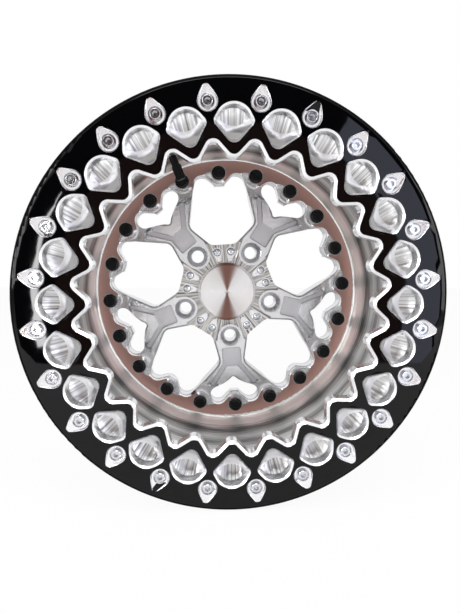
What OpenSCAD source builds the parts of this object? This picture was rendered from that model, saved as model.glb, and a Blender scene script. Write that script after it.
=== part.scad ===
// Beadlock wheel: a deep-dish racing wheel with a bolted-on ring that clamps the tyre's outer bead.
// Depths are counted from the ring's front face towards the car, and the wheel turns about Y.

/* [Wheel] */
// Overall width from the ring's front face to the rear rim edge
wheel_w = 280; // [276:1:290]
// Turn of the spoked centre against the ring, in degrees
centre_turn = -4.4; // [-9:0.1:9]
// Tyre bead seat diameter, front and rear
bead_d = 405.6; // [404:0.2:407]
// Inside diameter of both barrels
barrel_in_d = 344; // [340:1:346]
// Wall thickness of both barrels
barrel_t = 4.5; // [3.5:0.1:6]

/* [Beadlock ring] */
// Outside diameter of the ring
ring_d = 442; // [438:1:450]
// Thickness of the ring
ring_t = 16; // [14:0.5:18]
// Depth of the recess that centres the ring on the barrel
ring_step = 1.5; // [1:0.1:3]
// Diameter where the flat face ends and the edge curves back
ring_flat_d = 410; // [400:1:414]
// Radius to the tips of the inner lobes
lobe_tip_r = 143.2; // [142:0.1:144.5]
// Radius to the bottoms of the inner notches
notch_r = 158.7; // [157.5:0.1:160]
// Rounding of the lobe tips
lobe_round = 9.5; // [7:0.5:11]
// Rounding of the notches
notch_round = 6; // [5:0.5:8]
// Width of the bevels on the ring's openings
ring_bevel = 1.8; // [1:0.1:2.2]
// Radius to the inner tips of the windows
window_tip_r = 158.4; // [157:0.1:159.5]
// Radius to the outer ends of the windows
window_end_r = 192.8; // [191:0.1:194]
// Half the width between the windows' side corners
window_half_w = 17.8; // [16:0.1:18.2]

/* [Ring screws] */
// Radius of the circle of ring screws
screw_circle_r = 197; // [196.4:0.1:197.4]
// Ring screw shank diameter
screw_d = 6; // [5.6:0.1:6]
// Ring screw head diameter
screw_head_d = 10; // [9.5:0.1:10.4]
// Ring screw head height
screw_head_h = 6; // [5:0.1:6.4]
// Depth of the flat seat under the screws' washers
screw_seat_z = 8.2; // [7.8:0.1:8.8]
// Thickness of the ring screws' washers
ring_washer_t = 1.2; // [0.8:0.1:1.5]
// Length of the threaded inserts in the barrel
insert_len = 16; // [12:0.5:19]
// Radius of the round end of the teardrop pockets
tear_r = 9; // [8.6:0.1:9.4]
// Radius from the axle to the teardrop pockets' tips
tear_tip_r = 212; // [210:0.5:213]

/* [Bead flanges] */
// Width of the front bead seat
bead_w = 15.5; // [14:0.5:18]
// Height of the front bead flange above the seat
bead_flange_h = 11; // [9:0.5:12]
// Thickness of the front bead flange
bead_flange_t = 6.5; // [5:0.5:7]
// Radius of the scoops milled behind the windows
scoop_r = 26; // [24:0.5:30]
// Depth of the scoops at their middle
scoop_h = 6.5; // [5:0.5:8]
// Height of the rear bead flange above the seat
rear_flange_h = 17.3; // [15:0.1:18]

/* [Centre] */
// Depth of the barrel flange that the bolts press on
flange_depth = 149; // [145:1:153]
// Thickness of the two barrel flanges
flange_t = 8.5; // [7:0.5:10]
// Thickness of the centre's rim between the flanges
rim_t = 12; // [10:0.5:14]
// How far the spokes stand in front of the centre's rim
spoke_rise = 6.5; // [5:0.5:8]
// Thickness of the spokes
spoke_t = 26; // [24:0.5:30]
// Thickness of the hub from the spokes' front to the mounting face
hub_t = 34; // [32:0.5:38]
// How far the pads between the lug holes lie below the spokes' front
pad_drop = 6; // [4:0.5:7]
// Half the width of the bolt bosses on the barrel flange
boss_r = 13.2; // [12.6:0.1:13.8]
// How far inside the bolt circle the hollows between the bosses are centred
hollow_drop = 10.8; // [9.6:0.1:12]
// Radius of the hollows between the bosses
hollow_r = 11.4; // [10.6:0.1:11.6]
// How far the centre's own edge stands past the flange's scallops
edge_step = 1; // [0.5:0.1:1.4]
// Depth of the Y-shaped pockets in the spokes
pocket_h = 5; // [3:0.5:7]
// Half the width of the Y-shaped pocket in the spoke's stem
stem_half_w = 12; // [10:0.5:13]
// Width of the pocket slots in the spoke arms
slot_w = 5.5; // [4:0.5:7]
// Section of the two sealing rings between the centre and the barrels
seal_d = 2.4; // [1.8:0.1:3]

/* [Assembly bolts] */
// Radius of the circle of assembly bolts
bolt_circle_r = 153.3; // [152.8:0.1:153.8]
// Assembly bolt shank diameter
bolt_d = 8; // [7:0.5:9]
// Diameter of the bolt head's round flange
bolt_flange_d = 17.4; // [16:0.1:18]
// Height of the bolt head with its flange
bolt_head_h = 8.5; // [7:0.5:10]
// Diameter of the washers
washer_d = 19.4; // [18.2:0.1:20]
// Thickness of the washers
washer_t = 1.6; // [1:0.1:2.4]
// Height of the nuts with their flange
nut_h = 9; // [8:0.5:11]

/* [Hub] */
// Pitch circle diameter of the lug holes
lug_pcd = 120.65; // [118:0.05:122]
// Diameter of the lug holes
lug_hole_d = 16.5; // [15:0.1:17.5]
// Diameter of the lug seats at the front
lug_seat_d = 27; // [25:0.5:29]
// Diameter of the hub bore at the mounting face
hub_bore_d = 71.4; // [70:0.1:73]
// Depth of the hub bore
hub_bore_h = 17; // [14:0.5:19]
// Radius of the circle of hub screws
hub_screw_circle_r = 53.5; // [53:0.1:54.2]
// Half the angle between the two screws of a pad
hub_screw_half_a = 9.8; // [9.4:0.1:10.2]
// Hub screw shank diameter
hub_screw_d = 6; // [5:0.5:6]
// Hub screw head diameter
hub_screw_head_d = 10.5; // [9.5:0.1:11]
// Hub screw head height
hub_screw_head_h = 3.3; // [2.5:0.1:4]

/* [Centre cap] */
// Outside diameter of the cap's base ring
cap_d = 77; // [75:0.5:78]
// Diameter of the cap's spun disc
cap_disc_d = 73; // [70:0.5:74]
// Height of the cap in front of the pads
cap_h = 8; // [6:0.5:10]
// Diameter of the spigot that the cap plugs in with
cap_spigot_d = 66; // [64:0.5:67]

/* [Valve] */
// Depth of the valve hole behind the ring's face
valve_depth = 45; // [44.6:0.1:46]
// Diameter of the valve stem's body
stem_d = 8.2; // [7.8:0.1:8.6]
// Length of the stem inside the barrel, without its cap
stem_len = 30; // [26:0.5:34]
// Diameter of the valve cap
valve_cap_d = 10.2; // [10:0.1:11]
// Length of the valve cap
valve_cap_len = 15; // [14:0.5:17]

/* [Hidden] */
$fn = 64;
ring_n = 24;
bolt_n = 20;
spoke_n = 5;
ring_pitch = 360 / ring_n;
bolt_pitch = 360 / bolt_n;
spoke_pitch = 360 / spoke_n;
fit_gap = 0.1;
wave_lap = 0.04;
ring_r = ring_d / 2;
bead_r = bead_d / 2;
bore_r = barrel_in_d / 2;
wall_r = bore_r + barrel_t;
land_z = ring_t - ring_step;
bead_end_z = land_z + bead_w;
front_end_z = bead_end_z + bead_flange_t;
land_in_r = bore_r + 14;
rim_z = flange_depth + flange_t;
rim_end_z = rim_z + rim_t;
rear_face_z = rim_end_z + flange_t;
hollow_c = bolt_circle_r - hollow_drop;
flange_in_r = bolt_circle_r - boss_r - 8;
core_boss_r = boss_r + edge_step;
core_hollow_r = hollow_r - edge_step;
boss_tip = bolt_circle_r - core_boss_r;
spoke_z = rim_z - spoke_rise;
spoke_end_z = spoke_z + spoke_t;
mount_z = spoke_z + hub_t;
pad_z = spoke_z + pad_drop;
lug_r = lug_pcd / 2;
hub_bore_z = mount_z - hub_bore_h;
screw_end_z = front_end_z - 2;
screw_head_z = screw_seat_z - ring_washer_t;
seal_r = bore_r - 4;
seal_w = seal_d + 1;
valve_a = -1.5 * ring_pitch;
valve_hole_d = 11.5;
valve_head_d = 14;
valve_washer_d = 15;
valve_seat_r = wall_r - 0.3;
valve_nut_r = bore_r + 0.25;
insert_d = screw_d + 1.4;
valve_thread_d = stem_d + 1.8;
valve_seal_t = 1.5;
core_d = stem_d - 3.2;
pin_d = 1.7;
cap_seal_d = 2.4;
rear_z = wheel_w;

// Turns a piece drawn along z, with depth counted backwards, so that the axle is Y
module wheel() translate([0, -wheel_w / 2, 0]) rotate([-90, 0, 0]) children();

// Repeats a piece n times about the axle, the first at angle a clockwise from the top
module around(n, a = 0) {
    for (i = [0 : n - 1]) rotate([0, 0, a - 90 + 360 * i / n]) children();
}

// Direction of the outer tangent from circle p to circle q, as the angle of its outward normal
function tangent_a(p, q) = atan2(q[1] - p[1], q[0] - p[0])
    - acos((p[2] - q[2]) / norm([q[0] - p[0], q[1] - p[1]]));
function on_circle(p, a) = [p[0] + p[2] * cos(a), p[1] + p[2] * sin(a)];

// A flat outline pulled tight round circles [x, y, r] that are listed anticlockwise
module tight(c) {
    n = len(c);
    polygon([for (i = [0 : n - 1]) let (q = c[(i + 1) % n], a = tangent_a(c[i], q))
        each [on_circle(c[i], a), on_circle(q, a)]]);
    for (p = c) translate([p[0], p[1]]) circle(r = p[2]);
}

// A cutter for a tight outline from z0 to z1, with a bevel of width b at z0
module tight_cut(c, z0, z1, b) {
    n = len(c);
    translate([0, 0, z0 - 1]) linear_extrude(height = z1 - z0 + 1) tight(c);
    for (p = c) translate([p[0], p[1], z0 - 1]) cylinder(r1 = p[2] + b + 1, r2 = p[2], h = b + 1);
    for (i = [0 : n - 1]) {
        q = c[(i + 1) % n];
        a = tangent_a(c[i], q);
        s = on_circle(c[i], a);
        e = on_circle(q, a);
        l = norm(e - s);
        translate([s[0], s[1], z0]) rotate([0, 0, a]) translate([0, l, 0]) rotate([90, 0, 0])
            linear_extrude(height = l) polygon([[-1, -1], [b + 1, -1], [0, b], [-1, b]]);
    }
}

// A round post from z0 to z1 whose front edge at z0 has a bevel of width b
module post(r, z0, z1, b) {
    translate([0, 0, z0 + b]) cylinder(r = r, h = z1 - z0 - b);
    translate([0, 0, z0]) cylinder(r1 = r - b, r2 = r, h = b);
}

// A wavy edge with n round lobes of radius lr centred at lc, and round notches of radius nr centred at nc.
// A straight flank touches both circles: its direction, its length, and where it meets the lobe
function flank_v(n, lc, nc) = [lc * cos(180 / n) - nc, lc * sin(180 / n)];
function flank_a(n, lc, lr, nc, nr) = let (v = flank_v(n, lc, nc)) atan2(v[1], v[0]) + asin((nr + lr) / norm(v));
function flank_l(n, lc, lr, nc, nr) = sqrt(pow(norm(flank_v(n, lc, nc)), 2) - pow(nr + lr, 2));
function flank_at(n, lc, lr, nc, nr, l) = let (a = flank_a(n, lc, lr, nc, nr)) [nc + nr * sin(a) + l * cos(a), l * sin(a) - nr * cos(a)];

// The hole inside a wavy edge: straight flanks, with round notches added and round lobes left standing
module wavy(n, lc, lr, nc, nr) {
    l = flank_l(n, lc, lr - wave_lap, nc, nr - wave_lap);
    difference() {
        union() {
            polygon([for (i = [0 : n - 1], k = [[l, -1], [0, -1], [0, 1], [l, 1]])
                let (p = flank_at(n, lc, lr - wave_lap, nc, nr - wave_lap, k[0]), a = 360 * (i + 0.5) / n)
                [p[0] * cos(a) - k[1] * p[1] * sin(a), p[0] * sin(a) + k[1] * p[1] * cos(a)]]);
            for (i = [0 : n - 1]) rotate(360 * (i + 0.5) / n) translate([nc, 0]) circle(r = nr);
        }
        for (i = [0 : n - 1]) rotate(360 * i / n) translate([lc, 0]) circle(r = lr);
    }
}
notch_c = notch_r - notch_round;
lobe_c = lobe_tip_r + lobe_round;
window = [[window_end_r - 16.5, 0, 16.5], [177, window_half_w - 4.3, 4.3],
    [window_tip_r + 6.4, 0, 6.4], [177, 4.3 - window_half_w, 4.3]];
tear = [[tear_tip_r - 3.3, 0, 3.3], [screw_circle_r - 1, 0, tear_r]];

module tear_pocket() {
    intersection() {
        tight_cut(tear, 0, 9, 1);
        translate([screw_circle_r - tear_r, 0, 5.2]) rotate([0, 10.5, 0]) translate([-20, -30, -40]) cube([80, 60, 40]);
    }
    translate([screw_circle_r, 0, -1]) cylinder(r = washer_hole_r(), h = screw_seat_z + 1);
    translate([screw_circle_r, 0, -1]) cylinder(d = screw_d + 2 * fit_gap, h = ring_t + 2);
}
function washer_hole_r() = screw_head_d / 2 + 1.9;

module ring_blank() rotate_extrude() difference() {
    union() {
        polygon([[lobe_tip_r - 10, 0], [ring_flat_d / 2, 0], [ring_r - 5.5, 1.1], [ring_r - 5.5, 6.6], [ring_r, 6.6],
            [ring_r, ring_t - 4], [ring_r - 4, ring_t], [lobe_tip_r - 10, ring_t]]);
        translate([ring_r - 5.5, 6.6]) circle(r = 5.5);
    }
    translate([0, land_z]) square([bead_r + fit_gap, ring_step + 1]);
    for (i = [0 : 2]) translate([bead_r + 4 + 3.6 * i, ring_t]) circle(r = 0.7);
}

module beadlock_ring() color("#0c0c0e") wheel() difference() {
    difference() {
        difference() {
            ring_blank();
            rotate([0, 0, -90]) translate([0, 0, -1]) linear_extrude(height = ring_t + 2)
                wavy(ring_n, lobe_c, lobe_round, notch_c, notch_round);
        }
        around(ring_n) tight_cut(window, 0, ring_t + 1, ring_bevel);
    }
    around(ring_n, ring_pitch / 2) tear_pocket();
}

// Cuts the bosses and hollows round the bolts into a flange between z0 and z1
module scallops(z0, z1) {
    rotate([0, 0, -90]) translate([0, 0, z0 - 1]) linear_extrude(height = z1 - z0 + 2)
        wavy(bolt_n, bolt_circle_r, boss_r, hollow_c, hollow_r);
}

module bolt_holes(z0, z1) {
    around(bolt_n) translate([bolt_circle_r, 0, z0 - 1]) cylinder(d = bolt_d + 2 * fit_gap, h = z1 - z0 + 2);
}

module outer_barrel() color("#c9cbcf") wheel() {
    difference() {
        difference() {
            rotate_extrude() difference() {
                union() {
                    polygon([[flange_in_r, rim_z], [flange_in_r, flange_depth], [bore_r, flange_depth], [bore_r, land_z + 10.5], [land_in_r, land_z], [bead_r, land_z],
                        [bead_r, bead_end_z], [bead_r + bead_flange_h - 2, bead_end_z],
                        [bead_r + bead_flange_h - 2, front_end_z], [wall_r + 3, front_end_z],
                        [wall_r, front_end_z + 3], [wall_r, rim_z]]);
                    translate([bead_r + bead_flange_h - 2, bead_end_z]) square([2, bead_flange_t - 2]);
                    translate([bead_r + bead_flange_h - 2, front_end_z - 2]) circle(r = 2);
                    polygon([[bore_r - 4, flange_depth + 1], [bore_r - 4, flange_depth], [bore_r, flange_depth - 4],
                        [bore_r + 1, flange_depth - 4], [bore_r + 1, flange_depth + 1]]);
                }
                translate([bore_r - 4, flange_depth - 4]) circle(r = 4);
                translate([wall_r + 3, front_end_z + 3]) circle(r = 3);
            }
            rotate([0, 0, centre_turn]) scallops(flange_depth, rim_z);
        }
        rotate([0, 0, centre_turn]) bolt_holes(flange_depth, rim_z);
        around(ring_n) translate([bore_r - 10, 0, land_z + scoop_h - scoop_r]) rotate([0, 90, 0])
            cylinder(r = scoop_r, h = bead_r - 4 - bore_r + 10);
        around(ring_n, ring_pitch / 2) translate([screw_circle_r, 0, land_z - 1])
            cylinder(d = insert_d, h = front_end_z - land_z + 2);
        rotate([0, 0, valve_a - 90]) translate([bore_r - 4, 0, valve_depth]) rotate([0, 90, 0])
            cylinder(d = valve_hole_d, h = barrel_t + 8);
        rotate([0, 0, valve_a - 90]) translate([valve_seat_r, 0, valve_depth]) rotate([0, 90, 0])
            cylinder(d = valve_head_d + 0.6, h = 12);
        rotate([0, 0, valve_a - 90]) translate([valve_nut_r - 12, 0, valve_depth]) rotate([0, 90, 0])
            cylinder(d = valve_washer_d + 0.6, h = 12);
    }
}

module inner_barrel() color("#c4c6ca") wheel() {
    difference() {
        difference() {
            rotate_extrude() union() {
                polygon([[flange_in_r, rim_end_z], [wall_r, rim_end_z], [wall_r, rear_z - 56], [bead_r - 1.3 , rear_z - 40],
                    [bead_r + 0.6, rear_z - 35], [bead_r - 0.9, rear_z - 30], [bead_r, rear_z - 12],
                    [bead_r + 3, rear_z - 9.5], [bead_r + rear_flange_h - 4.75, rear_z - 9.5],
                    [bead_r + rear_flange_h - 4.75, rear_z - 4], [bead_r + 5, rear_z - 4],
                    [bead_r - barrel_t, rear_z - 10], [bead_r - barrel_t - 1.3, rear_z - 38], [bore_r, rear_z - 54],
                    [bore_r, rear_face_z], [flange_in_r, rear_face_z]]);
                translate([bead_r + rear_flange_h - 4.75, rear_z - 4.75]) circle(r = 4.75);
            }
            rotate([0, 0, centre_turn]) scallops(rim_end_z, rear_face_z);
        }
        rotate([0, 0, centre_turn]) bolt_holes(rim_end_z, rear_face_z);
    }
}

// One side of a bolt boss in an opening: the hollow beside the boss, its flank, and a circle c of the opening
module hollow_side(c, m) {
    h = [hollow_c * cos(bolt_pitch / 2), m * hollow_c * sin(bolt_pitch / 2), core_hollow_r];
    p = flank_at(bolt_n, bolt_circle_r, core_boss_r, hollow_c, core_hollow_r,
        flank_l(bolt_n, bolt_circle_r, core_boss_r, hollow_c, core_hollow_r) + 5);
    a = m * bolt_pitch / 2;
    q = [p[0] * cos(a) + m * p[1] * sin(a), p[0] * sin(a) - m * p[1] * cos(a), 0.01];
    tight(m > 0 ? [h, c, q] : [h, q, c]);
}

// One big opening between two spokes, in the frame of the opening's middle
module big_window() opening() {
    tight([[boss_tip - 5, 30, 5], [92, 30, 12.5], [76.5, 11, 14], [76.5, -11, 14], [92, -30, 12.5],
        [boss_tip - 5, -30, 5]]);
    for (m = [-1, 1]) hollow_side([129, m * 29, 7], m);
}

// One heart-shaped opening between the arms of a spoke, in the frame of the spoke's middle
module heart_window() opening() {
    tight([[boss_tip - 5, 17, 3], [119, 0, 3], [boss_tip - 5, -17, 3]]);
    for (m = [-1, 1]) hollow_side([122, m * 2.6, 3], m);
}

// A flat outline cut right through the centre
module opening() translate([0, 0, spoke_z - 1]) linear_extrude(height = hub_t + 2) children();

// The Y-shaped pocket in a spoke: a wide stem and two narrow arms
module y_pocket() translate([0, 0, spoke_z - 1]) linear_extrude(height = pocket_h + 1) {
    tight([[99, stem_half_w - 2, 2], [78.5, stem_half_w - 2, 2], [78.5, 2 - stem_half_w, 2], [99, 2 - stem_half_w, 2]]);
    for (m = [-1, 1])
        tight([[124, m * 28, slot_w / 2], [98, m * (stem_half_w - slot_w / 2), slot_w / 2]]);
}

// The centre's turned and milled body, still without its openings
module centre_blank() {
    rotate_extrude() polygon([[hub_bore_d / 2, hub_bore_z], [cap_spigot_d / 2 + fit_gap, hub_bore_z],
        [cap_spigot_d / 2 + fit_gap, pad_z], [68, pad_z], [68, spoke_z], [126, spoke_z], [133, rim_z],
        [seal_r - seal_w / 2, rim_z], [seal_r - seal_w / 2, rim_z + seal_d], [seal_r + seal_w / 2, rim_z + seal_d],
        [seal_r + seal_w / 2, rim_z], [wall_r, rim_z], [wall_r, rim_end_z], [seal_r + seal_w / 2, rim_end_z],
        [seal_r + seal_w / 2, rim_end_z - seal_d], [seal_r - seal_w / 2, rim_end_z - seal_d],
        [seal_r - seal_w / 2, rim_end_z], [135, rim_end_z], [128, spoke_end_z], [80, spoke_end_z],
        [75, mount_z], [hub_bore_d / 2, mount_z]]);
    around(spoke_n, spoke_pitch / 2) translate([0, 0, spoke_z]) linear_extrude(height = pad_drop + 1)
        tight([[84, 14, 8], [lug_r, 0, 16.5], [84, -14, 8]]);
}

// The five holes for the wheel bolts of the car, with their cone seats
module lug_holes() around(spoke_n, spoke_pitch / 2) translate([lug_r, 0, 0]) rotate_extrude()
    polygon([[0, spoke_z - 1], [lug_seat_d / 2, spoke_z - 1], [lug_seat_d / 2, spoke_z],
        [lug_hole_d / 2, spoke_z + (lug_seat_d - lug_hole_d) * 0.866], [lug_hole_d / 2, mount_z + 1], [0, mount_z + 1]]);

module centre() color("#cfd1d4") wheel() rotate([0, 0, centre_turn]) difference() {
    difference() {
        difference() {
            difference() {
                centre_blank();
                around(spoke_n) big_window();
            }
            around(spoke_n, spoke_pitch / 2) heart_window();
        }
        around(spoke_n, spoke_pitch / 2) y_pocket();
    }
    bolt_holes(rim_z, rim_end_z);
    lug_holes();
    around(spoke_n) for (m = [-1, 1]) rotate([0, 0, m * hub_screw_half_a]) hub_screw_hole();
}

// A hub screw's seat, with the trough that runs from it towards the cap
module hub_screw_hole() {
    translate([0, 0, pad_z - 1]) linear_extrude(height = 2.2)
        tight([[hub_screw_circle_r, 0, hub_screw_head_d / 2 + 1], [43.5, 0, 3]]);
    translate([hub_screw_circle_r, 0, pad_z - 1]) cylinder(d = hub_screw_d + 2 * fit_gap, h = 21);
}

// A socket head screw whose head rests at z, pointing backwards to z_end
module socket_screw(d, head_d, head_h, z, z_end) {
    difference() {
        union() {
            translate([0, 0, z - head_h]) cylinder(d1 = head_d - 1, d2 = head_d, h = 0.5);
            translate([0, 0, z - head_h + 0.5]) cylinder(d = head_d, h = head_h - 0.5);
            translate([0, 0, z - 0.5]) cylinder(d = d, h = z_end - z + 0.5);
        }
        translate([0, 0, z - head_h - 1]) cylinder(d = head_d * 0.57, h = head_h * 0.5 + 1, $fn = 6);
    }
}

module ring_screws() color("#d5d7da") wheel() around(ring_n, ring_pitch / 2)
    translate([screw_circle_r, 0, 0]) socket_screw(screw_d, screw_head_d, screw_head_h, screw_head_z, screw_end_z);

module ring_washers() color("#e1e2e4") wheel() around(ring_n, ring_pitch / 2)
    translate([screw_circle_r, 0, screw_head_z]) difference() {
        cylinder(r = washer_hole_r() - 0.3, h = ring_washer_t);
        translate([0, 0, -1]) cylinder(d = screw_d + 2 * fit_gap, h = ring_washer_t + 2);
    }

module thread_inserts() color("#a5a8ad") wheel() around(ring_n, ring_pitch / 2)
    translate([screw_circle_r, 0, land_z + 0.5]) difference() {
        cylinder(d = insert_d - fit_gap, h = insert_len);
        translate([0, 0, -1]) cylinder(d = screw_d + fit_gap, h = insert_len + 2);
    }

// A twelve-point bolt head or nut: a round flange and two crossed hexagons, from z forwards
module twelve_point(w, h, z) {
    translate([0, 0, z - 2]) cylinder(d = bolt_flange_d, h = 2);
    translate([0, 0, z - 3.2]) cylinder(d1 = bolt_flange_d - 3.4, d2 = bolt_flange_d, h = 1.2);
    for (a = [0, 30]) rotate([0, 0, a]) translate([0, 0, z - h + 0.6]) cylinder(d = w / cos(30), h = h - 0.6, $fn = 6);
    translate([0, 0, z - h]) cylinder(d1 = w - 1, d2 = w, h = 0.6);
}

module assembly_bolts() color("#111113") wheel() rotate([0, 0, centre_turn]) around(bolt_n)
    translate([bolt_circle_r, 0, 0]) difference() {
        union() {
            twelve_point(bolt_d + 4.6, bolt_head_h, flange_depth - washer_t);
            translate([0, 0, flange_depth - washer_t - 1]) cylinder(d = bolt_d, h = rear_face_z - flange_depth + 2 * washer_t + nut_h + 3);
        }
        translate([0, 0, flange_depth - washer_t - bolt_head_h - 1]) cylinder(d = bolt_d * 0.55, h = 2.4);
    }

module washer_ring(z) wheel() rotate([0, 0, centre_turn]) around(bolt_n)
    translate([bolt_circle_r, 0, z]) difference() {
        cylinder(d = washer_d, h = washer_t);
        translate([0, 0, -1]) cylinder(d = bolt_d + 2 * fit_gap, h = washer_t + 2);
    }

module bolt_washers() color("#d9dadc") washer_ring(flange_depth - washer_t);

module nut_washers() color("#d9dadc") washer_ring(rear_face_z);

module assembly_nuts() color("#18181a") wheel() rotate([0, 0, centre_turn]) around(bolt_n)
    translate([bolt_circle_r, 0, rear_face_z + washer_t]) difference() {
        union() {
            cylinder(d = bolt_flange_d, h = 2);
            cylinder(d = (bolt_d + 5) / cos(30), h = nut_h, $fn = 6);
        }
        translate([0, 0, -1]) cylinder(d = bolt_d + 2 * fit_gap, h = nut_h + 2);
    }

module seal_ring(z) wheel() rotate_extrude() translate([seal_r, z]) circle(d = seal_d);

module front_seal() color("#1b1b1b") seal_ring(rim_z + seal_d / 2);

module rear_seal() color("#1b1b1b") seal_ring(rim_end_z - seal_d / 2);

module centre_cap() color("#b9a49c") wheel() rotate_extrude() {
    cap_r = cap_d / 2;
    disc_r = cap_disc_d / 2;
    spigot_r = cap_spigot_d / 2;
    top = pad_z - cap_h;
    difference() {
        polygon([[0, top + 1], [disc_r - 4, top], [disc_r - 1.2, top], [disc_r, top + 1.2], [disc_r, pad_z - 2.6],
            [cap_r - 0.6, pad_z - 2.6], [cap_r, pad_z - 2], [cap_r, pad_z], [spigot_r, pad_z], [spigot_r, hub_bore_z - 1],
            [spigot_r - 5, hub_bore_z - 1], [spigot_r - 5, pad_z - 2], [0, pad_z - 2]]);
        translate([spigot_r - cap_seal_d - 0.1, pad_z + 4]) square([cap_seal_d + 1, cap_seal_d + 0.4]);
    }
}

module cap_seal() color("#202020") wheel() rotate_extrude()
    translate([cap_spigot_d / 2 + fit_gap / 2 - cap_seal_d / 2, pad_z + 4.2 + cap_seal_d / 2]) circle(d = cap_seal_d);

module hub_screws() color("#c2c7cc") wheel() rotate([0, 0, centre_turn]) around(spoke_n)
    for (m = [-1, 1]) rotate([0, 0, m * hub_screw_half_a]) translate([hub_screw_circle_r, 0, pad_z + 1.2]) difference() {
        union() {
            intersection() {
                translate([0, 0, -hub_screw_head_h]) cylinder(d = hub_screw_head_d, h = hub_screw_head_h);
                translate([0, 0, hub_screw_head_d * 0.75 - hub_screw_head_h]) sphere(r = hub_screw_head_d * 0.75);
            }
            translate([0, 0, -0.5]) cylinder(d = hub_screw_d, h = 18);
        }
        translate([0, 0, -hub_screw_head_h - 1]) cylinder(d = hub_screw_d * 0.72, h = 3, $fn = 6);
    }

// Turns a piece drawn along z into the valve's place, counted inwards from the barrel's inner wall
module at_valve() wheel() rotate([0, 0, valve_a - 90]) translate([bore_r, 0, valve_depth]) rotate([0, -90, 0]) children();

module valve_stem() color("#19191b") at_valve() {
    seat = bore_r - valve_seat_r - valve_seal_t;
    difference() {
        union() {
            translate([0, 0, seat - 2.5]) cylinder(d = valve_head_d, h = 2.5);
            translate([0, 0, seat - 1]) cylinder(d = valve_hole_d - 2 * fit_gap, h = 0.5 - seat);
            translate([0, 0, -1]) cylinder(d = valve_thread_d, h = 9);
            cylinder(d = stem_d, h = stem_len - 12);
            cylinder(d = stem_d - 0.5, h = stem_len - 0.4);
            translate([0, 0, stem_len - 0.4]) cylinder(d1 = stem_d - 0.5, d2 = stem_d - 1.3, h = 0.4);
        }
        translate([0, 0, seat - 4]) cylinder(d = 3.2, h = stem_len - seat + 5);
        translate([0, 0, stem_len - 13]) cylinder(d = core_d + 2 * fit_gap, h = 14);
    }
}

module valve_seal() color("#1d1d1d") at_valve() translate([0, 0, bore_r - valve_seat_r - valve_seal_t]) difference() {
    cylinder(d = valve_head_d, h = valve_seal_t);
    translate([0, 0, -1]) cylinder(d = valve_hole_d, h = valve_seal_t + 2);
}

module valve_washer() color("#2a2a2c") at_valve() translate([0, 0, bore_r - valve_nut_r]) difference() {
    cylinder(d = valve_washer_d, h = 1.2);
    translate([0, 0, -1]) cylinder(d = valve_thread_d + 2 * fit_gap, h = 4);
}

module valve_nut() color("#232325") at_valve() translate([0, 0, bore_r - valve_nut_r + 1.2]) difference() {
    intersection() {
        cylinder(d = 13 / cos(30), h = 4.6, $fn = 6);
        translate([0, 0, -2]) cylinder(d1 = 19.4, d2 = 13.2, h = 6.6);
    }
    translate([0, 0, -1]) cylinder(d = valve_thread_d + 2 * fit_gap, h = 8);
}

module valve_core() color("#b08d57") at_valve() translate([0, 0, stem_len - 12.4]) difference() {
    cylinder(d = core_d, h = 9.6);
    translate([0, 0, -1]) cylinder(d = pin_d + 2 * fit_gap, h = 12);
}

module valve_pin() color("#c8a76a") at_valve() {
    translate([0, 0, stem_len - 14.6]) cylinder(d = 2.8, h = 2.1);
    translate([0, 0, stem_len - 13]) cylinder(d = pin_d, h = 12);
    translate([0, 0, stem_len - 1.7]) cylinder(d = 2.5, h = 0.9);
}

module valve_cap() color("#141415") at_valve() translate([0, 0, stem_len - 11.7]) difference() {
    union() {
        cylinder(d = valve_cap_d, h = valve_cap_len - 1);
        translate([0, 0, valve_cap_len - 1]) cylinder(d1 = valve_cap_d, d2 = valve_cap_d - 2, h = 1);
    }
    translate([0, 0, -1]) cylinder(d = stem_d - 0.5 + 2 * fit_gap, h = 14.15);
    for (i = [0 : 11]) rotate([0, 0, 30 * i]) translate([valve_cap_d / 2 + 0.35, 0, 1.5])
        cylinder(r = 0.8, h = valve_cap_len - 4);
}

module valve_cap_seal() color("#3a3a3a") at_valve() translate([0, 0, stem_len + 0.05]) cylinder(d = stem_d - 0.7, h = 1.3);

beadlock_ring();
outer_barrel();
inner_barrel();
centre();
ring_screws();
ring_washers();
thread_inserts();
assembly_bolts();
bolt_washers();
nut_washers();
assembly_nuts();
front_seal();
rear_seal();
centre_cap();
cap_seal();
hub_screws();
valve_stem();
valve_seal();
valve_washer();
valve_nut();
valve_core();
valve_pin();
valve_cap();
valve_cap_seal();
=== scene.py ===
import math
import bpy
from mathutils import Matrix, Vector


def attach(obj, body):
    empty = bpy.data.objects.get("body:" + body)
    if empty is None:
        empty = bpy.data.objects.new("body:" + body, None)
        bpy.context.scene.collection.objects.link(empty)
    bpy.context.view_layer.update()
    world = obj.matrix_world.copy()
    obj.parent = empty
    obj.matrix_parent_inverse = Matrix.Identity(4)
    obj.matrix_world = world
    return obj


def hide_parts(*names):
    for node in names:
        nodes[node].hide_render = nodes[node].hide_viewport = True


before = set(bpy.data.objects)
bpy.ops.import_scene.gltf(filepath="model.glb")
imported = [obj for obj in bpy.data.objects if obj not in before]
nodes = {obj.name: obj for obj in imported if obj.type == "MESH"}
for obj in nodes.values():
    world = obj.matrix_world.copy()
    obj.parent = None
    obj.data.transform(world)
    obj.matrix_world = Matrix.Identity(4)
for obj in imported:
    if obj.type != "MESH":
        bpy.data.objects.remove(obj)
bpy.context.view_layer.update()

# The camera
# A phone's wide lens, held about 45 cm in front of the ring, a little to the left of the axle and above it.
# Its place and turn come from the ring's outline, the windows and the bolt circles in the photograph.
FOCAL_PX, PHOTO_WIDTH = 455.0, 460.0
CAMERA_PITCH, CAMERA_YAW = 6.68, 2.70
RING_FRONT_Y = -0.140

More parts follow.
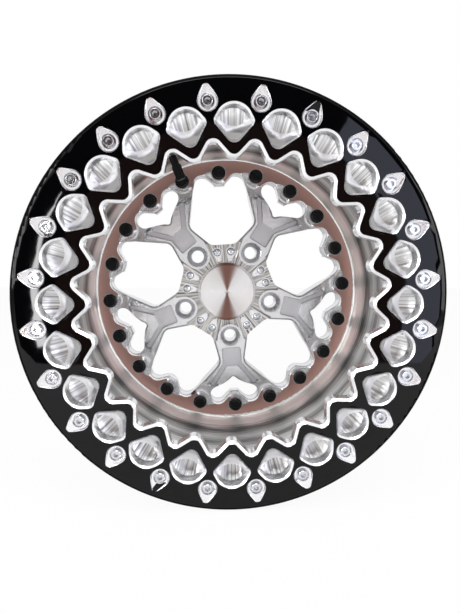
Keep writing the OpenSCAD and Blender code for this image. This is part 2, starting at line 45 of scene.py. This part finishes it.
turn = Matrix.Rotation(math.radians(CAMERA_YAW), 3, "Y") @ Matrix.Rotation(math.radians(CAMERA_PITCH), 3, "X")
to_scene = Matrix(((1, 0, 0), (0, 0, -1), (0, 1, 0)))
eye = to_scene @ (turn.transposed() @ Vector((-0.00319, -0.00207, 0.4549))) + Vector((0, RING_FRONT_Y, 0))
camera = bpy.data.objects.new("photo_camera", bpy.data.cameras.new("photo_camera"))
bpy.context.scene.collection.objects.link(camera)
camera.matrix_world = Matrix.Translation(eye) @ (to_scene @ turn.transposed()).to_4x4()
camera.data.sensor_fit = "HORIZONTAL"
camera.data.sensor_width = 36
camera.data.lens = 36 * FOCAL_PX / PHOTO_WIDTH
camera.data.clip_start = 0.01
bpy.context.scene.camera = camera
bpy.context.scene.view_settings.view_transform = "Standard"


def colour(code):
    """An sRGB hex colour as the linear colour that a shader takes."""
    parts = [int(code[i:i + 2], 16) / 255 for i in (0, 2, 4)]
    return [p / 12.92 if p <= 0.04045 else ((p + 0.055) / 1.055) ** 2.4 for p in parts] + [1.0]


def add_node(owner, kind, inputs=(), **settings):
    """Adds one node; inputs are (socket, a value or another node's output), settings are its own options."""
    node = owner.node_tree.nodes.new(kind)
    for name, value in settings.items():
        setattr(node, name, value)
    for socket, value in inputs:
        if isinstance(value, bpy.types.NodeSocket):
            owner.node_tree.links.new(value, node.inputs[socket])
        else:
            node.inputs[socket].default_value = value
    return node


def new_material(name, base, metallic, roughness):
    """A material and its shader; what varies over the surface is added by the section that uses it."""
    material = bpy.data.materials.new(name)
    material.use_nodes = True
    shader = material.node_tree.nodes["Principled BSDF"]
    shader.inputs["Base Color"].default_value = colour(base)
    shader.inputs["Metallic"].default_value = metallic
    shader.inputs["Roughness"].default_value = roughness
    return material, shader


# The studio
# A pale floor and a white surround, with one soft lamp above and one at each side.
# Dark card stands round the lens, as a maker's product photograph has, so that polished metal shows contrast.
world = bpy.data.worlds.new("white_surround")
bpy.context.scene.world = world
world.use_nodes = True
backdrop = world.node_tree.nodes["Background"]
ray = add_node(world, "ShaderNodeLightPath")
seen = add_node(world, "ShaderNodeMath", [(0, ray.outputs["Is Camera Ray"]), (1, ray.outputs["Is Glossy Ray"])],
    operation="MAXIMUM")
seen = add_node(world, "ShaderNodeMath", [(0, seen.outputs[0]), (1, ray.outputs["Is Transmission Ray"])],
    operation="MAXIMUM")
level = add_node(world, "ShaderNodeMapRange", [("Value", seen.outputs[0]), ("To Min", 0.55), ("To Max", 1.0)])
world.node_tree.links.new(level.outputs["Result"], backdrop.inputs["Strength"])
backdrop.inputs["Color"].default_value = (1, 1, 1, 1)

bpy.ops.object.select_all(action="DESELECT")
bpy.ops.mesh.primitive_plane_add(size=6, location=(0, 0, -0.2212))
floor = bpy.context.object
floor.name = "floor"
floor_paint, floor_shader = new_material("floor_white_board", "F4F4F4", 0.0, 0.9)
floor_ray = add_node(floor_paint, "ShaderNodeLightPath")
floor_white = add_node(floor_paint, "ShaderNodeEmission", [("Color", (1, 1, 1, 1)), ("Strength", 1.0)])
floor_share = add_node(floor_paint, "ShaderNodeMath", [(0, floor_ray.outputs["Is Camera Ray"]), (1, 0.94)],
    operation="MULTIPLY")
floor_mix = add_node(floor_paint, "ShaderNodeMixShader",
    [(0, floor_share.outputs[0]), (1, floor_shader.outputs[0]), (2, floor_white.outputs[0])])
floor_paint.node_tree.links.new(floor_mix.outputs[0], floor_paint.node_tree.nodes["Material Output"].inputs["Surface"])
floor.data.materials.append(floor_paint)


def softbox(name, place, aim, size, power):
    """A square soft lamp at a place, turned to a point."""
    lamp = bpy.data.lights.new(name, "AREA")
    lamp.size, lamp.energy = size, power
    holder = bpy.data.objects.new(name, lamp)
    bpy.context.scene.collection.objects.link(holder)
    holder.location = place
    holder.rotation_euler = (Vector(aim) - Vector(place)).to_track_quat("-Z", "Y").to_euler()


softbox("lamp_above", (0.0, -0.7, 1.1), (0, 0, 0), 0.9, 9)
softbox("lamp_left", (-1.1, -0.9, 0.3), (0, 0, 0), 0.7, 7)
softbox("lamp_right", (1.1, -0.9, 0.2), (0, 0, 0), 0.7, 5)


def card(name, corners, code, strength=1.0):
    """A lit card in front of the wheel, drawn by its corners, that only the reflections show."""
    mesh = bpy.data.meshes.new(name)
    mesh.from_pydata(corners, [], [range(len(corners))])
    sheet = bpy.data.objects.new(name, mesh)
    bpy.context.scene.collection.objects.link(sheet)
    paint = bpy.data.materials.new(name + "_paint")
    paint.use_nodes = True
    glow = add_node(paint, "ShaderNodeEmission", [("Color", colour(code)), ("Strength", strength)])
    paint.node_tree.links.new(glow.outputs[0], paint.node_tree.nodes["Material Output"].inputs["Surface"])
    mesh.materials.append(paint)
    sheet.visible_camera = sheet.visible_diffuse = sheet.visible_shadow = False


# The mirror image of the lens in the wheel's flat faces lies here, so the cards are centred on it.
MIRROR_X, MIRROR_Z = -1.32 * eye.x, -1.32 * eye.z


def disc(radius, y, tall=1.0, sides=64):
    """The corners of a round or oval card."""
    angles = [2 * math.pi * i / sides for i in range(sides)]
    return [(MIRROR_X + radius * math.cos(a), y, MIRROR_Z + tall * radius * math.sin(a)) for a in angles]


def slice_of_disc(radius, y, middle, spread, start=0.0, end_start=None, sides=16):
    """The corners of a curved slice of a disc; angles are clockwise from the top, in degrees."""
    outer, inner = [], []
    for i in range(sides + 1):
        a = math.radians(middle - spread / 2 + spread * i / sides)
        low = start if end_start is None else start + (end_start - start) * i / sides
        outer.append((MIRROR_X + radius * math.sin(a), y, MIRROR_Z + radius * math.cos(a)))
        inner.append((MIRROR_X + low * math.sin(a), y, MIRROR_Z + low * math.cos(a)))
    return outer + inner[::-1]


card("card_dark", disc(0.69, -0.80, 1.2), "08080A")
card("card_warm", disc(0.425, -0.79), "8E655B")
card("card_middle", disc(0.30, -0.78), "F4F4F4", 1.1)
card("card_upper_slice", slice_of_disc(0.11, -0.775, 0, 60, 0.004), "5E4038")
card("card_lower_slice", slice_of_disc(0.11, -0.775, 172, 56, 0.004), "5E4038")
card("card_right", slice_of_disc(0.64, -0.785, 72, 80, 0.43), "B8BCD0", 4.0)
card("strip_left", slice_of_disc(0.474, -0.77, -80, 46, 0.448, 0.472), "FFFFFF", 30.0)


def machined_copy(node, name):
    """A copy of a node's solid with its loose triangles merged into flat faces, ready to be shaped."""
    bpy.ops.object.select_all(action="DESELECT")
    piece = bpy.data.objects.new(name, nodes[node].data.copy())
    bpy.context.scene.collection.objects.link(piece)
    piece.data.materials.clear()
    bpy.context.view_layer.objects.active = piece
    piece.select_set(True)
    bpy.ops.object.mode_set(mode="EDIT")
    bpy.ops.mesh.select_all(action="SELECT")
    bpy.ops.mesh.remove_doubles(threshold=0.00001)
    bpy.ops.mesh.dissolve_limited(angle_limit=math.radians(0.5))
    bpy.ops.object.mode_set(mode="OBJECT")
    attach(piece, "wheel")
    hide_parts(node)
    return piece


def bevel_between(piece, width, first, second, segments=1):
    """Bevels the edges between a face that passes the first test and a face that passes the second."""
    mesh = piece.data
    beside = {}
    for face in mesh.polygons:
        for key in face.edge_keys:
            beside.setdefault(key, []).append(face)
    for part in (*mesh.polygons, *mesh.vertices):
        part.select = False
    for edge in mesh.edges:
        pair = beside.get(edge.key, [])
        edge.select = len(pair) == 2 and any(first(a) and second(b) for a, b in (pair, pair[::-1]))
        if edge.select:
            for v in edge.vertices:
                mesh.vertices[v].select = True
    bpy.context.view_layer.objects.active = piece
    bpy.ops.object.mode_set(mode="EDIT")
    bpy.ops.mesh.select_mode(type="EDGE")
    bpy.ops.mesh.bevel(offset=width, segments=segments, affect="EDGES", clamp_overlap=False, offset_type="OFFSET")
    bpy.ops.object.mode_set(mode="OBJECT")


def tight_outline(circles, grow, steps=10):
    """Points round a band pulled tight over circles (x, y, r) listed anticlockwise, all grown by the same amount."""
    def lean(p, q):
        return math.atan2(q[1] - p[1], q[0] - p[0]) - math.acos((p[2] - q[2]) / math.dist(p[:2], q[:2]))
    points = []
    for k, c in enumerate(circles):
        first, last = lean(circles[k - 1], c), lean(c, circles[(k + 1) % len(circles)])
        last += 2 * math.pi * math.ceil((first - last) / (2 * math.pi))
        for i in range(steps + 1):
            a = first + (last - first) * i / steps
            points.append((c[0] + (c[2] + grow) * math.cos(a), c[1] + (c[2] + grow) * math.sin(a)))
    return points


def wavy_outline(count, lobe, notch, grow, steps=8):
    """Points round a wavy hole with notches cut out and lobes left standing, each (centre radius, radius)."""
    half = math.pi / count
    run, rise = lobe[0] * math.cos(half) - notch[0], lobe[0] * math.sin(half)
    flank = math.atan2(rise, run) + math.asin((lobe[1] + notch[1]) / math.hypot(run, rise))
    points = []
    for k in range(count):
        for middle, (far, radius), sweep, side in ((2 * half * k, lobe, flank - half - math.pi / 2, -1),
                                                   (2 * half * k + half, notch, flank - math.pi / 2, 1)):
            for i in range(steps + 1):
                a = sweep * (2 * i / steps - 1)
                x, y = far + side * (radius + side * grow) * math.cos(a), (radius + side * grow) * math.sin(a)
                points.append((x * math.cos(middle) - y * math.sin(middle),
                    x * math.sin(middle) + y * math.cos(middle)))
    return points


def tapered_blocks(outlines, front_y, levels):
    """A closed block for each (outline by growth, clock angle).
    Levels are its (growth, depth behind front_y), in mm."""
    verts, faces = [], []
    for outline, clock in outlines:
        a = math.radians(90 - clock)
        cos, sin = math.cos(a), math.sin(a)
        rings = [[(x * cos - y * sin, depth, x * sin + y * cos) for x, y in outline(g)] for g, depth in levels]
        n, first = len(rings[0]), len(verts)
        verts += [(x / 1000, front_y + d / 1000, z / 1000) for ring_points in rings for x, d, z in ring_points]
        faces += [[first + i for i in range(n)], [first + len(levels) * n - 1 - i for i in range(n)]]
        for low in range(first, first + (len(levels) - 1) * n, n):
            faces += [[low + i, low + n + i, low + n + (i + 1) % n, low + (i + 1) % n] for i in range(n)]
    mesh = bpy.data.meshes.new("blocks")
    mesh.from_pydata(verts, [], faces)
    blocks = bpy.data.objects.new("blocks", mesh)
    bpy.context.scene.collection.objects.link(blocks)
    bpy.ops.object.select_all(action="DESELECT")
    bpy.context.view_layer.objects.active = blocks
    blocks.select_set(True)
    bpy.ops.object.mode_set(mode="EDIT")
    bpy.ops.mesh.select_all(action="SELECT")
    bpy.ops.mesh.normals_make_consistent(inside=False)
    bpy.ops.object.mode_set(mode="OBJECT")
    return blocks


def bevel_cutter(outlines, front_y, width):
    """A cutter whose 45 degree sides open an edge by width at front_y."""
    return tapered_blocks(outlines, front_y, [(width + 1, -1), (-0.6, width + 0.6)])


def cut_away(piece, cutter):
    """Takes the cutter's volume out of the piece and throws the cutter away."""
    cut = piece.modifiers.new("cut", "BOOLEAN")
    cut.operation, cut.solver, cut.use_self, cut.object = "DIFFERENCE", "EXACT", True, cutter
    bpy.ops.object.select_all(action="DESELECT")
    bpy.context.view_layer.objects.active = piece
    piece.select_set(True)
    bpy.ops.object.modifier_apply(modifier=cut.name)
    bpy.data.objects.remove(cutter)


def finish_faces(piece, finishes, choose, angle=28):
    """Gives the piece its finishes, and each face the number that choose returns for its centre and normal."""
    for material in finishes:
        piece.data.materials.append(material)
    for face in piece.data.polygons:
        face.material_index = choose(face.center, face.normal)
    bpy.ops.object.select_all(action="DESELECT")
    bpy.context.view_layer.objects.active = piece
    piece.select_set(True)
    bpy.ops.object.shade_smooth_by_angle(angle=math.radians(angle))
    even = piece.modifiers.new("even_normals", "WEIGHTED_NORMAL")
    even.weight, even.keep_sharp = 100, True
    bpy.ops.object.modifier_apply(modifier=even.name)


# The inner barrel half
# Spun aluminium sheet with a rolled safety hump and rear bead flange, left as turned behind the stack.
def fine_finish(material, shader, grain_mm, roughness, depth_mm):
    """Lets a finish vary as a real one does: grain of a real size moves the roughness and lifts the surface."""
    place = add_node(material, "ShaderNodeTexCoord").outputs["Object"]
    spread = add_node(material, "ShaderNodeMapping", [("Vector", place), ("Scale", [1000 / g for g in grain_mm])])
    grain = add_node(material, "ShaderNodeTexNoise", [("Vector", spread.outputs[0]), ("Scale", 1.0), ("Detail", 3.0)])
    share = add_node(material, "ShaderNodeMapRange", [("Value", grain.outputs["Fac"]),
        ("From Min", 0.3), ("From Max", 0.7), ("To Min", roughness[0]), ("To Max", roughness[1])])
    relief = add_node(material, "ShaderNodeBump", [("Height", grain.outputs["Fac"]), ("Distance", depth_mm / 1000)])
    material.node_tree.links.new(share.outputs[0], shader.inputs["Roughness"])
    material.node_tree.links.new(relief.outputs[0], shader.inputs["Normal"])
    return grain.outputs["Fac"]


def clock_angle(material):
    """The angle round the axle of each point on the surface, from the top, in radians."""
    place = add_node(material, "ShaderNodeTexCoord").outputs["Object"]
    axes = add_node(material, "ShaderNodeSeparateXYZ", [(0, place)])
    return add_node(material, "ShaderNodeMath", [(0, axes.outputs["X"]), (1, axes.outputs["Z"])],
        operation="ARCTAN2").outputs[0]


# Lathe lines a little under a millimetre apart give the barrel its fine rings of light.
turned_aluminium, shader = new_material("turned_aluminium", "C9CACC", 1.0, 0.3)
fine_finish(turned_aluminium, shader, (60, 0.8, 60), (0.24, 0.36), 0.004)
inner_barrel = machined_copy("inner_barrel", "inner_barrel_shell")
finish_faces(inner_barrel, [turned_aluminium], lambda c, n: 0)

# The outer barrel half
# Spun and polished aluminium. Its front land is scooped behind each window of the ring,
# and the bolted flange inside it closes the stack.
# Polish over fine lathe lines: the barrel mirrors the stack, slightly drawn out round the axle.
polished_aluminium, shader = new_material("polished_aluminium", "DEDEDF", 1.0, 0.12)
fine_finish(polished_aluminium, shader, (200, 1.1, 200), (0.10, 0.17), 0.0006)

# The inside wall between ring and flange is satin. Its colour is painted shade and painted reflection in bands along
# the axle: light grey at the ring, dark stripes where the ring's dark underside is mirrored, and darker where the
# stack shades it.
satin_with_painted_shade, shader = new_material("turned_wall_painted_shade", "D2D2D0", 0.6, 0.36)
grain = fine_finish(satin_with_painted_shade, shader, (40, 2.5, 40), (0.30, 0.42), 0.003)
place = add_node(satin_with_painted_shade, "ShaderNodeTexCoord").outputs["Object"]
axes = add_node(satin_with_painted_shade, "ShaderNodeSeparateXYZ", [(0, place)])
WALL_FRONT_Y, WALL_REAR_Y, BAND_WOBBLE = -0.115, 0.02, 0.03
wobble = add_node(satin_with_painted_shade, "ShaderNodeMath", [(0, grain), (1, BAND_WOBBLE), (2, axes.outputs["Y"])],
    operation="MULTIPLY_ADD")
shades = add_node(satin_with_painted_shade, "ShaderNodeMapRange",
    [("Value", wobble.outputs[0]), ("From Min", WALL_FRONT_Y), ("From Max", WALL_REAR_Y)])
painted_shade_ramp = add_node(satin_with_painted_shade, "ShaderNodeValToRGB", [(0, shades.outputs[0])])
# Each stop is a band of painted shade or painted reflection along the axle.
for depth_share, code in ((0.30, "D8D8D6"), (0.42, "6A6A6A"), (0.52, "C6C6C4"), (0.70, "3C3C3C"), (0.84, "F0F0F0")):
    stop = painted_shade_ramp.color_ramp.elements.new(depth_share)
    stop.color = colour(code)
painted_shade_ramp.color_ramp.elements[0].color = painted_shade_ramp.color_ramp.elements[-1].color = colour("E4E4E2")
satin_with_painted_shade.node_tree.links.new(painted_shade_ramp.outputs[0], shader.inputs["Base Color"])

RING_PITCH = math.radians(360 / 24)
# Radial stripes of painted reflection lie across each scoop's floor, and painted shade darkens the scoop towards both
# ends under the ring.
scoops_painted_light, shader = new_material("scoop_floor_painted_light", "E4E4E6", 1.0, 0.34)
clock = clock_angle(scoops_painted_light)
across = add_node(scoops_painted_light, "ShaderNodeCombineXYZ", [(0, clock)])
painted_reflection_streaks = add_node(scoops_painted_light, "ShaderNodeTexNoise",
    [("Vector", across.outputs[0]), ("Scale", 62.0), ("Detail", 3.0), ("Roughness", 0.65)])
light = add_node(scoops_painted_light, "ShaderNodeMapRange", [("Value", painted_reflection_streaks.outputs["Fac"]),
    ("From Min", 0.36), ("From Max", 0.64), ("To Min", 0.16), ("To Max", 0.95)])
# Painted shade: the colour falls nearly to black towards both ends of each scoop, where it runs under the ring.
offset = add_node(scoops_painted_light, "ShaderNodeMath", [(0, clock), (1, RING_PITCH / 2)], operation="PINGPONG")
edge = add_node(scoops_painted_light, "ShaderNodeMapRange", [("Value", offset.outputs[0]),
    ("From Min", math.radians(4.6)), ("From Max", math.radians(5.6)), ("To Min", 1.0), ("To Max", 0.06)])
light = add_node(scoops_painted_light, "ShaderNodeMath", [(0, light.outputs[0]), (1, edge.outputs[0])], operation="MULTIPLY")
grey = add_node(scoops_painted_light, "ShaderNodeCombineColor", [(channel, light.outputs[0]) for channel in range(3)])
scoops_painted_light.node_tree.links.new(grey.outputs[0], shader.inputs["Base Color"])

# Finer cuts: a light satin cone at the windows' tips, a flange face whose rosy colour is a painted reflection of warm
# surroundings, and bright bevels left by the last cutter.
blasted_cone, shader = new_material("fine_turned_cone", "E6E6E8", 1.0, 0.42)
fine_finish(blasted_cone, shader, (0.6, 0.6, 0.6), (0.38, 0.46), 0.002)
# Painted reflection: the flange face's rosy colour stands for warm surroundings mirrored in plain polished aluminium.
flange_painted_reflection, shader = new_material("flange_face_painted_rosy_reflection", "C49C92", 1.0, 0.34)
fine_finish(flange_painted_reflection, shader, (1.2, 1.2, 1.2), (0.30, 0.38), 0.001)
bright_cut, shader = new_material("bright_cut_aluminium", "F4F4F6", 1.0, 0.24)
fine_finish(bright_cut, shader, (1.5, 1.5, 1.5), (0.18, 0.30), 0.004)
FLANGE_FRONT_Y, BOSS, HOLLOW = RING_FRONT_Y + 0.149, (153.3, 13.2), (142.5, 11.4)
outer_barrel = machined_copy("outer_barrel", "outer_barrel_shell")
cut_away(outer_barrel, bevel_cutter([(lambda g: wavy_outline(20, BOSS, HOLLOW, g), 0)], FLANGE_FRONT_Y, 2.2))


def barrel_finish(c, n):
    r = math.hypot(c.x, c.z)
    if abs(c.y - FLANGE_FRONT_Y) < 0.0002 and n.y < -0.99:
        return 2
    if r < 0.160 and c.y < FLANGE_FRONT_Y + 0.003 and -0.8 < n.y < -0.6:
        return 3
    if r < 0.1695 and c.y > 0.003:
        return 3
    if c.y < RING_FRONT_Y + 0.0255 and r > 0.1722 and n.y < -0.3:
        return 4 if abs(n.y + 0.8) < 0.06 and r < 0.186 and n.x * c.x + n.z * c.z < 0 else 1
    faces_axle = n.x * c.x + n.z * c.z < -0.3 * r
    if r < 0.186 and RING_FRONT_Y + 0.0255 < c.y < FLANGE_FRONT_Y + 0.001 and faces_axle:
        return 5
    return 0


finish_faces(outer_barrel,
    [polished_aluminium, scoops_painted_light, flange_painted_reflection, bright_cut, blasted_cone, satin_with_painted_shade], barrel_finish)

# The centre
# Machined from one aluminium block: five Y-shaped spokes with bevelled openings and shallow Y pockets, left bright.
milled_aluminium, shader = new_material("milled_aluminium", "E2E2E4", 1.0, 0.26)
place = add_node(milled_aluminium, "ShaderNodeTexCoord").outputs["Object"]
grain = add_node(milled_aluminium, "ShaderNodeTexNoise",
    [("Vector", place), ("Scale", 90.0), ("Detail", 5.0), ("Roughness", 0.65)])
relief = add_node(milled_aluminium, "ShaderNodeBump",
    [("Height", grain.outputs["Fac"]), ("Strength", 0.16), ("Distance", 0.002)])
milled_aluminium.node_tree.links.new(relief.outputs[0], shader.inputs["Normal"])
pocket_floor, shader = new_material("milled_pocket_floor", "CFCFD2", 1.0, 0.36)
place = add_node(pocket_floor, "ShaderNodeTexCoord").outputs["Object"]
grain = add_node(pocket_floor, "ShaderNodeTexNoise", [("Vector", place), ("Scale", 400.0), ("Detail", 4.0)])
relief = add_node(pocket_floor, "ShaderNodeBump",
    [("Height", grain.outputs["Fac"]), ("Strength", 0.3), ("Distance", 0.001)])
pocket_floor.node_tree.links.new(relief.outputs[0], shader.inputs["Normal"])
# The pads round the cap are coloured in bold radial streaks, light and dark in turn round the axle.
milled_pad, shader = new_material("milled_hub_pads", "8E8C8E", 1.0, 0.3)
clock = clock_angle(milled_pad)
across = add_node(milled_pad, "ShaderNodeCombineXYZ", [(0, clock)])
radial_streaks = add_node(milled_pad, "ShaderNodeTexNoise", [("Vector", across.outputs[0]), ("Scale", 22.0), ("Detail", 3.0)])
tones = add_node(milled_pad, "ShaderNodeValToRGB", [(0, radial_streaks.outputs["Fac"])])
tones.color_ramp.elements[0].position, tones.color_ramp.elements[0].color = 0.38, colour("5A5653")
tones.color_ramp.elements[1].position, tones.color_ramp.elements[1].color = 0.58, colour("E2E0DE")
milled_pad.node_tree.links.new(tones.outputs[0], shader.inputs["Base Color"])
SPOKE_FRONT_Y, CENTRE_TURN = RING_FRONT_Y + 0.151, -4.4
centre = machined_copy("centre", "centre_milled")
big = [(134, 30, 5), (92, 30, 12.5), (76.5, 11, 14), (76.5, -11, 14), (92, -30, 12.5), (134, -30, 5)]
heart = [(134, 17, 3), (119, 0, 3), (134, -17, 3)]
openings = []
for k in range(5):
    openings += [(lambda g: tight_outline(big, g), CENTRE_TURN + 72 * k)]
    openings += [(lambda g: tight_outline(heart, g), CENTRE_TURN + 72 * k + 36)]
cut_away(centre, bevel_cutter(openings, SPOKE_FRONT_Y, 2.2))
stem = [(99, 10, 2), (78.5, 10, 2), (78.5, -10, 2), (99, -10, 2)]
pockets = []
for k in range(5):
    pockets += [(lambda g: tight_outline(stem, g), CENTRE_TURN + 72 * k + 36)]
    pockets += [(lambda g: tight_outline([(124, 28, 2.75), (98, 9.25, 2.75)], g), CENTRE_TURN + 72 * k + 36)]
    pockets += [(lambda g: tight_outline([(124, -28, 2.75), (98, -9.25, 2.75)], g), CENTRE_TURN + 72 * k + 36)]
cut_away(centre, bevel_cutter(pockets, SPOKE_FRONT_Y, 0.9))


def centre_finish(c, n):
    r = math.hypot(c.x, c.z)
    if n.y < -0.99 and r > 0.07 and abs(c.y - SPOKE_FRONT_Y - 0.005) < 0.0004:
        return 2
    if r < 0.0705 and c.y > SPOKE_FRONT_Y + 0.003 and c.y < SPOKE_FRONT_Y + 0.0065 and n.y < -0.9:
        return 3
    return 1 if -0.88 < n.y < -0.3 or r < 0.07 and n.y < -0.9 and c.y > SPOKE_FRONT_Y + 0.0065 else 0


finish_faces(centre, [milled_aluminium, bright_cut, pocket_floor, milled_pad], centre_finish)

# The clamping ring
# Cut from aluminium plate and anodised gloss black.
# Windows, waves and screw pockets are then cut bright through the black.
gloss_black, shader = new_material("gloss_black_anodised", "040405", 0.0, 0.04)
fine_finish(gloss_black, shader, (14, 14, 14), (0.025, 0.05), 0.0004)
shader.inputs["Specular IOR Level"].default_value = 0.25
# The turned rim of the ring takes the same black less glossily, so it stays black against the white surround.
deep_black, shader = new_material("deep_black_rim", "020202", 0.0, 0.5)
fine_finish(deep_black, shader, (30, 0.7, 30), (0.42, 0.56), 0.002)
shader.inputs["Specular IOR Level"].default_value = 0.03
WAVE_EDGE = 0.0026
ring = machined_copy("beadlock_ring", "beadlock_ring_plate")
bevel_between(ring, WAVE_EDGE,
    lambda f: f.normal.y < -0.99 and abs(f.center.y - RING_FRONT_Y) < 0.0002,
    lambda f: abs(f.normal.y) < 0.1 and math.hypot(f.center.x, f.center.z) < 0.162)

# Each window's flanks run straight from its side corners to a rounded tip that points to the axle. The turned circle
# behind them would bulge past the flanks, so a block with the same bevel fills it up to each flank.
WINDOWS, WINDOW_ARC_R, FLANK_FROM_MIDDLE, WINDOW_BEVEL, PLATE_THICK = 24, 16.55, 13.98, 1.8, 14.5
WINDOW_MIDDLE_R, FLANK_NORMAL = 176.3, math.radians(131.3)


def flank_block(side, grow, steps=10):
    """The stretch of the window's circle that lies beyond one flank."""
    reach = math.acos((FLANK_FROM_MIDDLE + grow) / (WINDOW_ARC_R + grow))
    radius = WINDOW_ARC_R + grow
    angles = [side * (FLANK_NORMAL + reach * (2 * i / steps - 1)) for i in range(steps + 1)]
    return [(WINDOW_MIDDLE_R + radius * math.cos(a), radius * math.sin(a)) for a in angles]


sides = [(lambda g, side=side: flank_block(side, g), k * 360 / WINDOWS) for k in range(WINDOWS) for side in (-1, 1)]
flanks = tapered_blocks(sides, RING_FRONT_Y, [(WINDOW_BEVEL, -0.01), (0, WINDOW_BEVEL), (0, PLATE_THICK)])
ring.select_set(True)
bpy.context.view_layer.objects.active = ring
bpy.ops.object.join()


def ring_finish(c, n):
    if math.hypot(c.x, c.z) > 0.2145 and n.y > -0.97:
        return 2
    return 0 if n.y < -0.9 and c.y < RING_FRONT_Y + 0.0018 or n.y > 0.95 else 1


finish_faces(ring, [gloss_black, bright_cut, deep_black], ring_finish)

# Fasteners, cap and valve
# Black bolts on bright washers close the stack, zinc screws hold the ring and the pads, and the valve is matt black.
# All of them keep the solids of the part and take only their finish here.
# Black oxide on rolled steel: a dull skin with a fine grain that breaks the lamps' highlights.
black_oxide, shader = new_material("black_oxide_steel", "070708", 0.0, 0.35)
fine_finish(black_oxide, shader, (0.5, 0.5, 0.5), (0.30, 0.44), 0.006)
shader.inputs["Specular IOR Level"].default_value = 0.3
# Bright zinc, slightly cloudy from the bath.
zinc_plated, shader = new_material("zinc_plated_steel", "D5D7DB", 1.0, 0.22)
fine_finish(zinc_plated, shader, (2.0, 2.0, 2.0), (0.16, 0.28), 0.002)
# The cap is spun on a lathe. Two rosy fans of painted reflection stand in its colour above and below its middle.
spun_cap, shader = new_material("spun_cap_aluminium", "DEDCDC", 1.0, 0.25)
clock = clock_angle(spun_cap)
double = add_node(spun_cap, "ShaderNodeMath", [(0, clock), (1, 2.0)], operation="MULTIPLY")
wave = add_node(spun_cap, "ShaderNodeMath", [(0, double.outputs[0])], operation="COSINE")
share = add_node(spun_cap, "ShaderNodeMapRange", [("Value", wave.outputs[0]), ("From Min", 0.55), ("From Max", 1.0)],
    interpolation_type="SMOOTHSTEP")
# Painted reflection: rosy brown above and below the middle, near white at either side.
painted_reflection_fan = add_node(spun_cap, "ShaderNodeMix", [(0, share.outputs[0]), (6, colour("EDEBEB")), (7, colour("8A675D"))],
    data_type="RGBA")
spun_cap.node_tree.links.new(painted_reflection_fan.outputs[2], shader.inputs["Base Color"])
shader.inputs["Anisotropic"].default_value = 0.85
shader.inputs["Anisotropic Rotation"].default_value = 0.25
grooves = add_node(spun_cap, "ShaderNodeTangent", direction_type="RADIAL", axis="Y")
spun_cap.node_tree.links.new(grooves.outputs[0], shader.inputs["Tangent"])
# The valve's anodised parts are matt, its seals are moulded rubber, and its core is drawn brass.
matt_black, shader = new_material("matt_black_anodised", "060606", 0.0, 0.45)
fine_finish(matt_black, shader, (0.4, 0.4, 0.4), (0.40, 0.52), 0.004)
shader.inputs["Specular IOR Level"].default_value = 0.2
seal_rubber, shader = new_material("seal_rubber", "141414", 0.0, 0.8)
fine_finish(seal_rubber, shader, (0.8, 0.8, 0.8), (0.70, 0.90), 0.02)
brass, shader = new_material("valve_brass", "C9A65E", 1.0, 0.3)
fine_finish(brass, shader, (3.0, 0.3, 3.0), (0.24, 0.36), 0.002)
finishes = {
    "assembly_bolts": black_oxide, "assembly_nuts": black_oxide,
    "bolt_washers": zinc_plated, "nut_washers": zinc_plated,
    "ring_screws": zinc_plated, "ring_washers": zinc_plated, "hub_screws": zinc_plated, "thread_inserts": zinc_plated,
    "centre_cap": spun_cap, "cap_seal": seal_rubber, "front_seal": seal_rubber, "rear_seal": seal_rubber,
    "valve_stem": matt_black, "valve_seal": seal_rubber, "valve_washer": matt_black, "valve_nut": matt_black,
    "valve_core": brass, "valve_pin": brass, "valve_cap": matt_black, "valve_cap_seal": seal_rubber,
}
for name, material in finishes.items():
    nodes[name].data.materials.clear()
    nodes[name].data.materials.append(material)
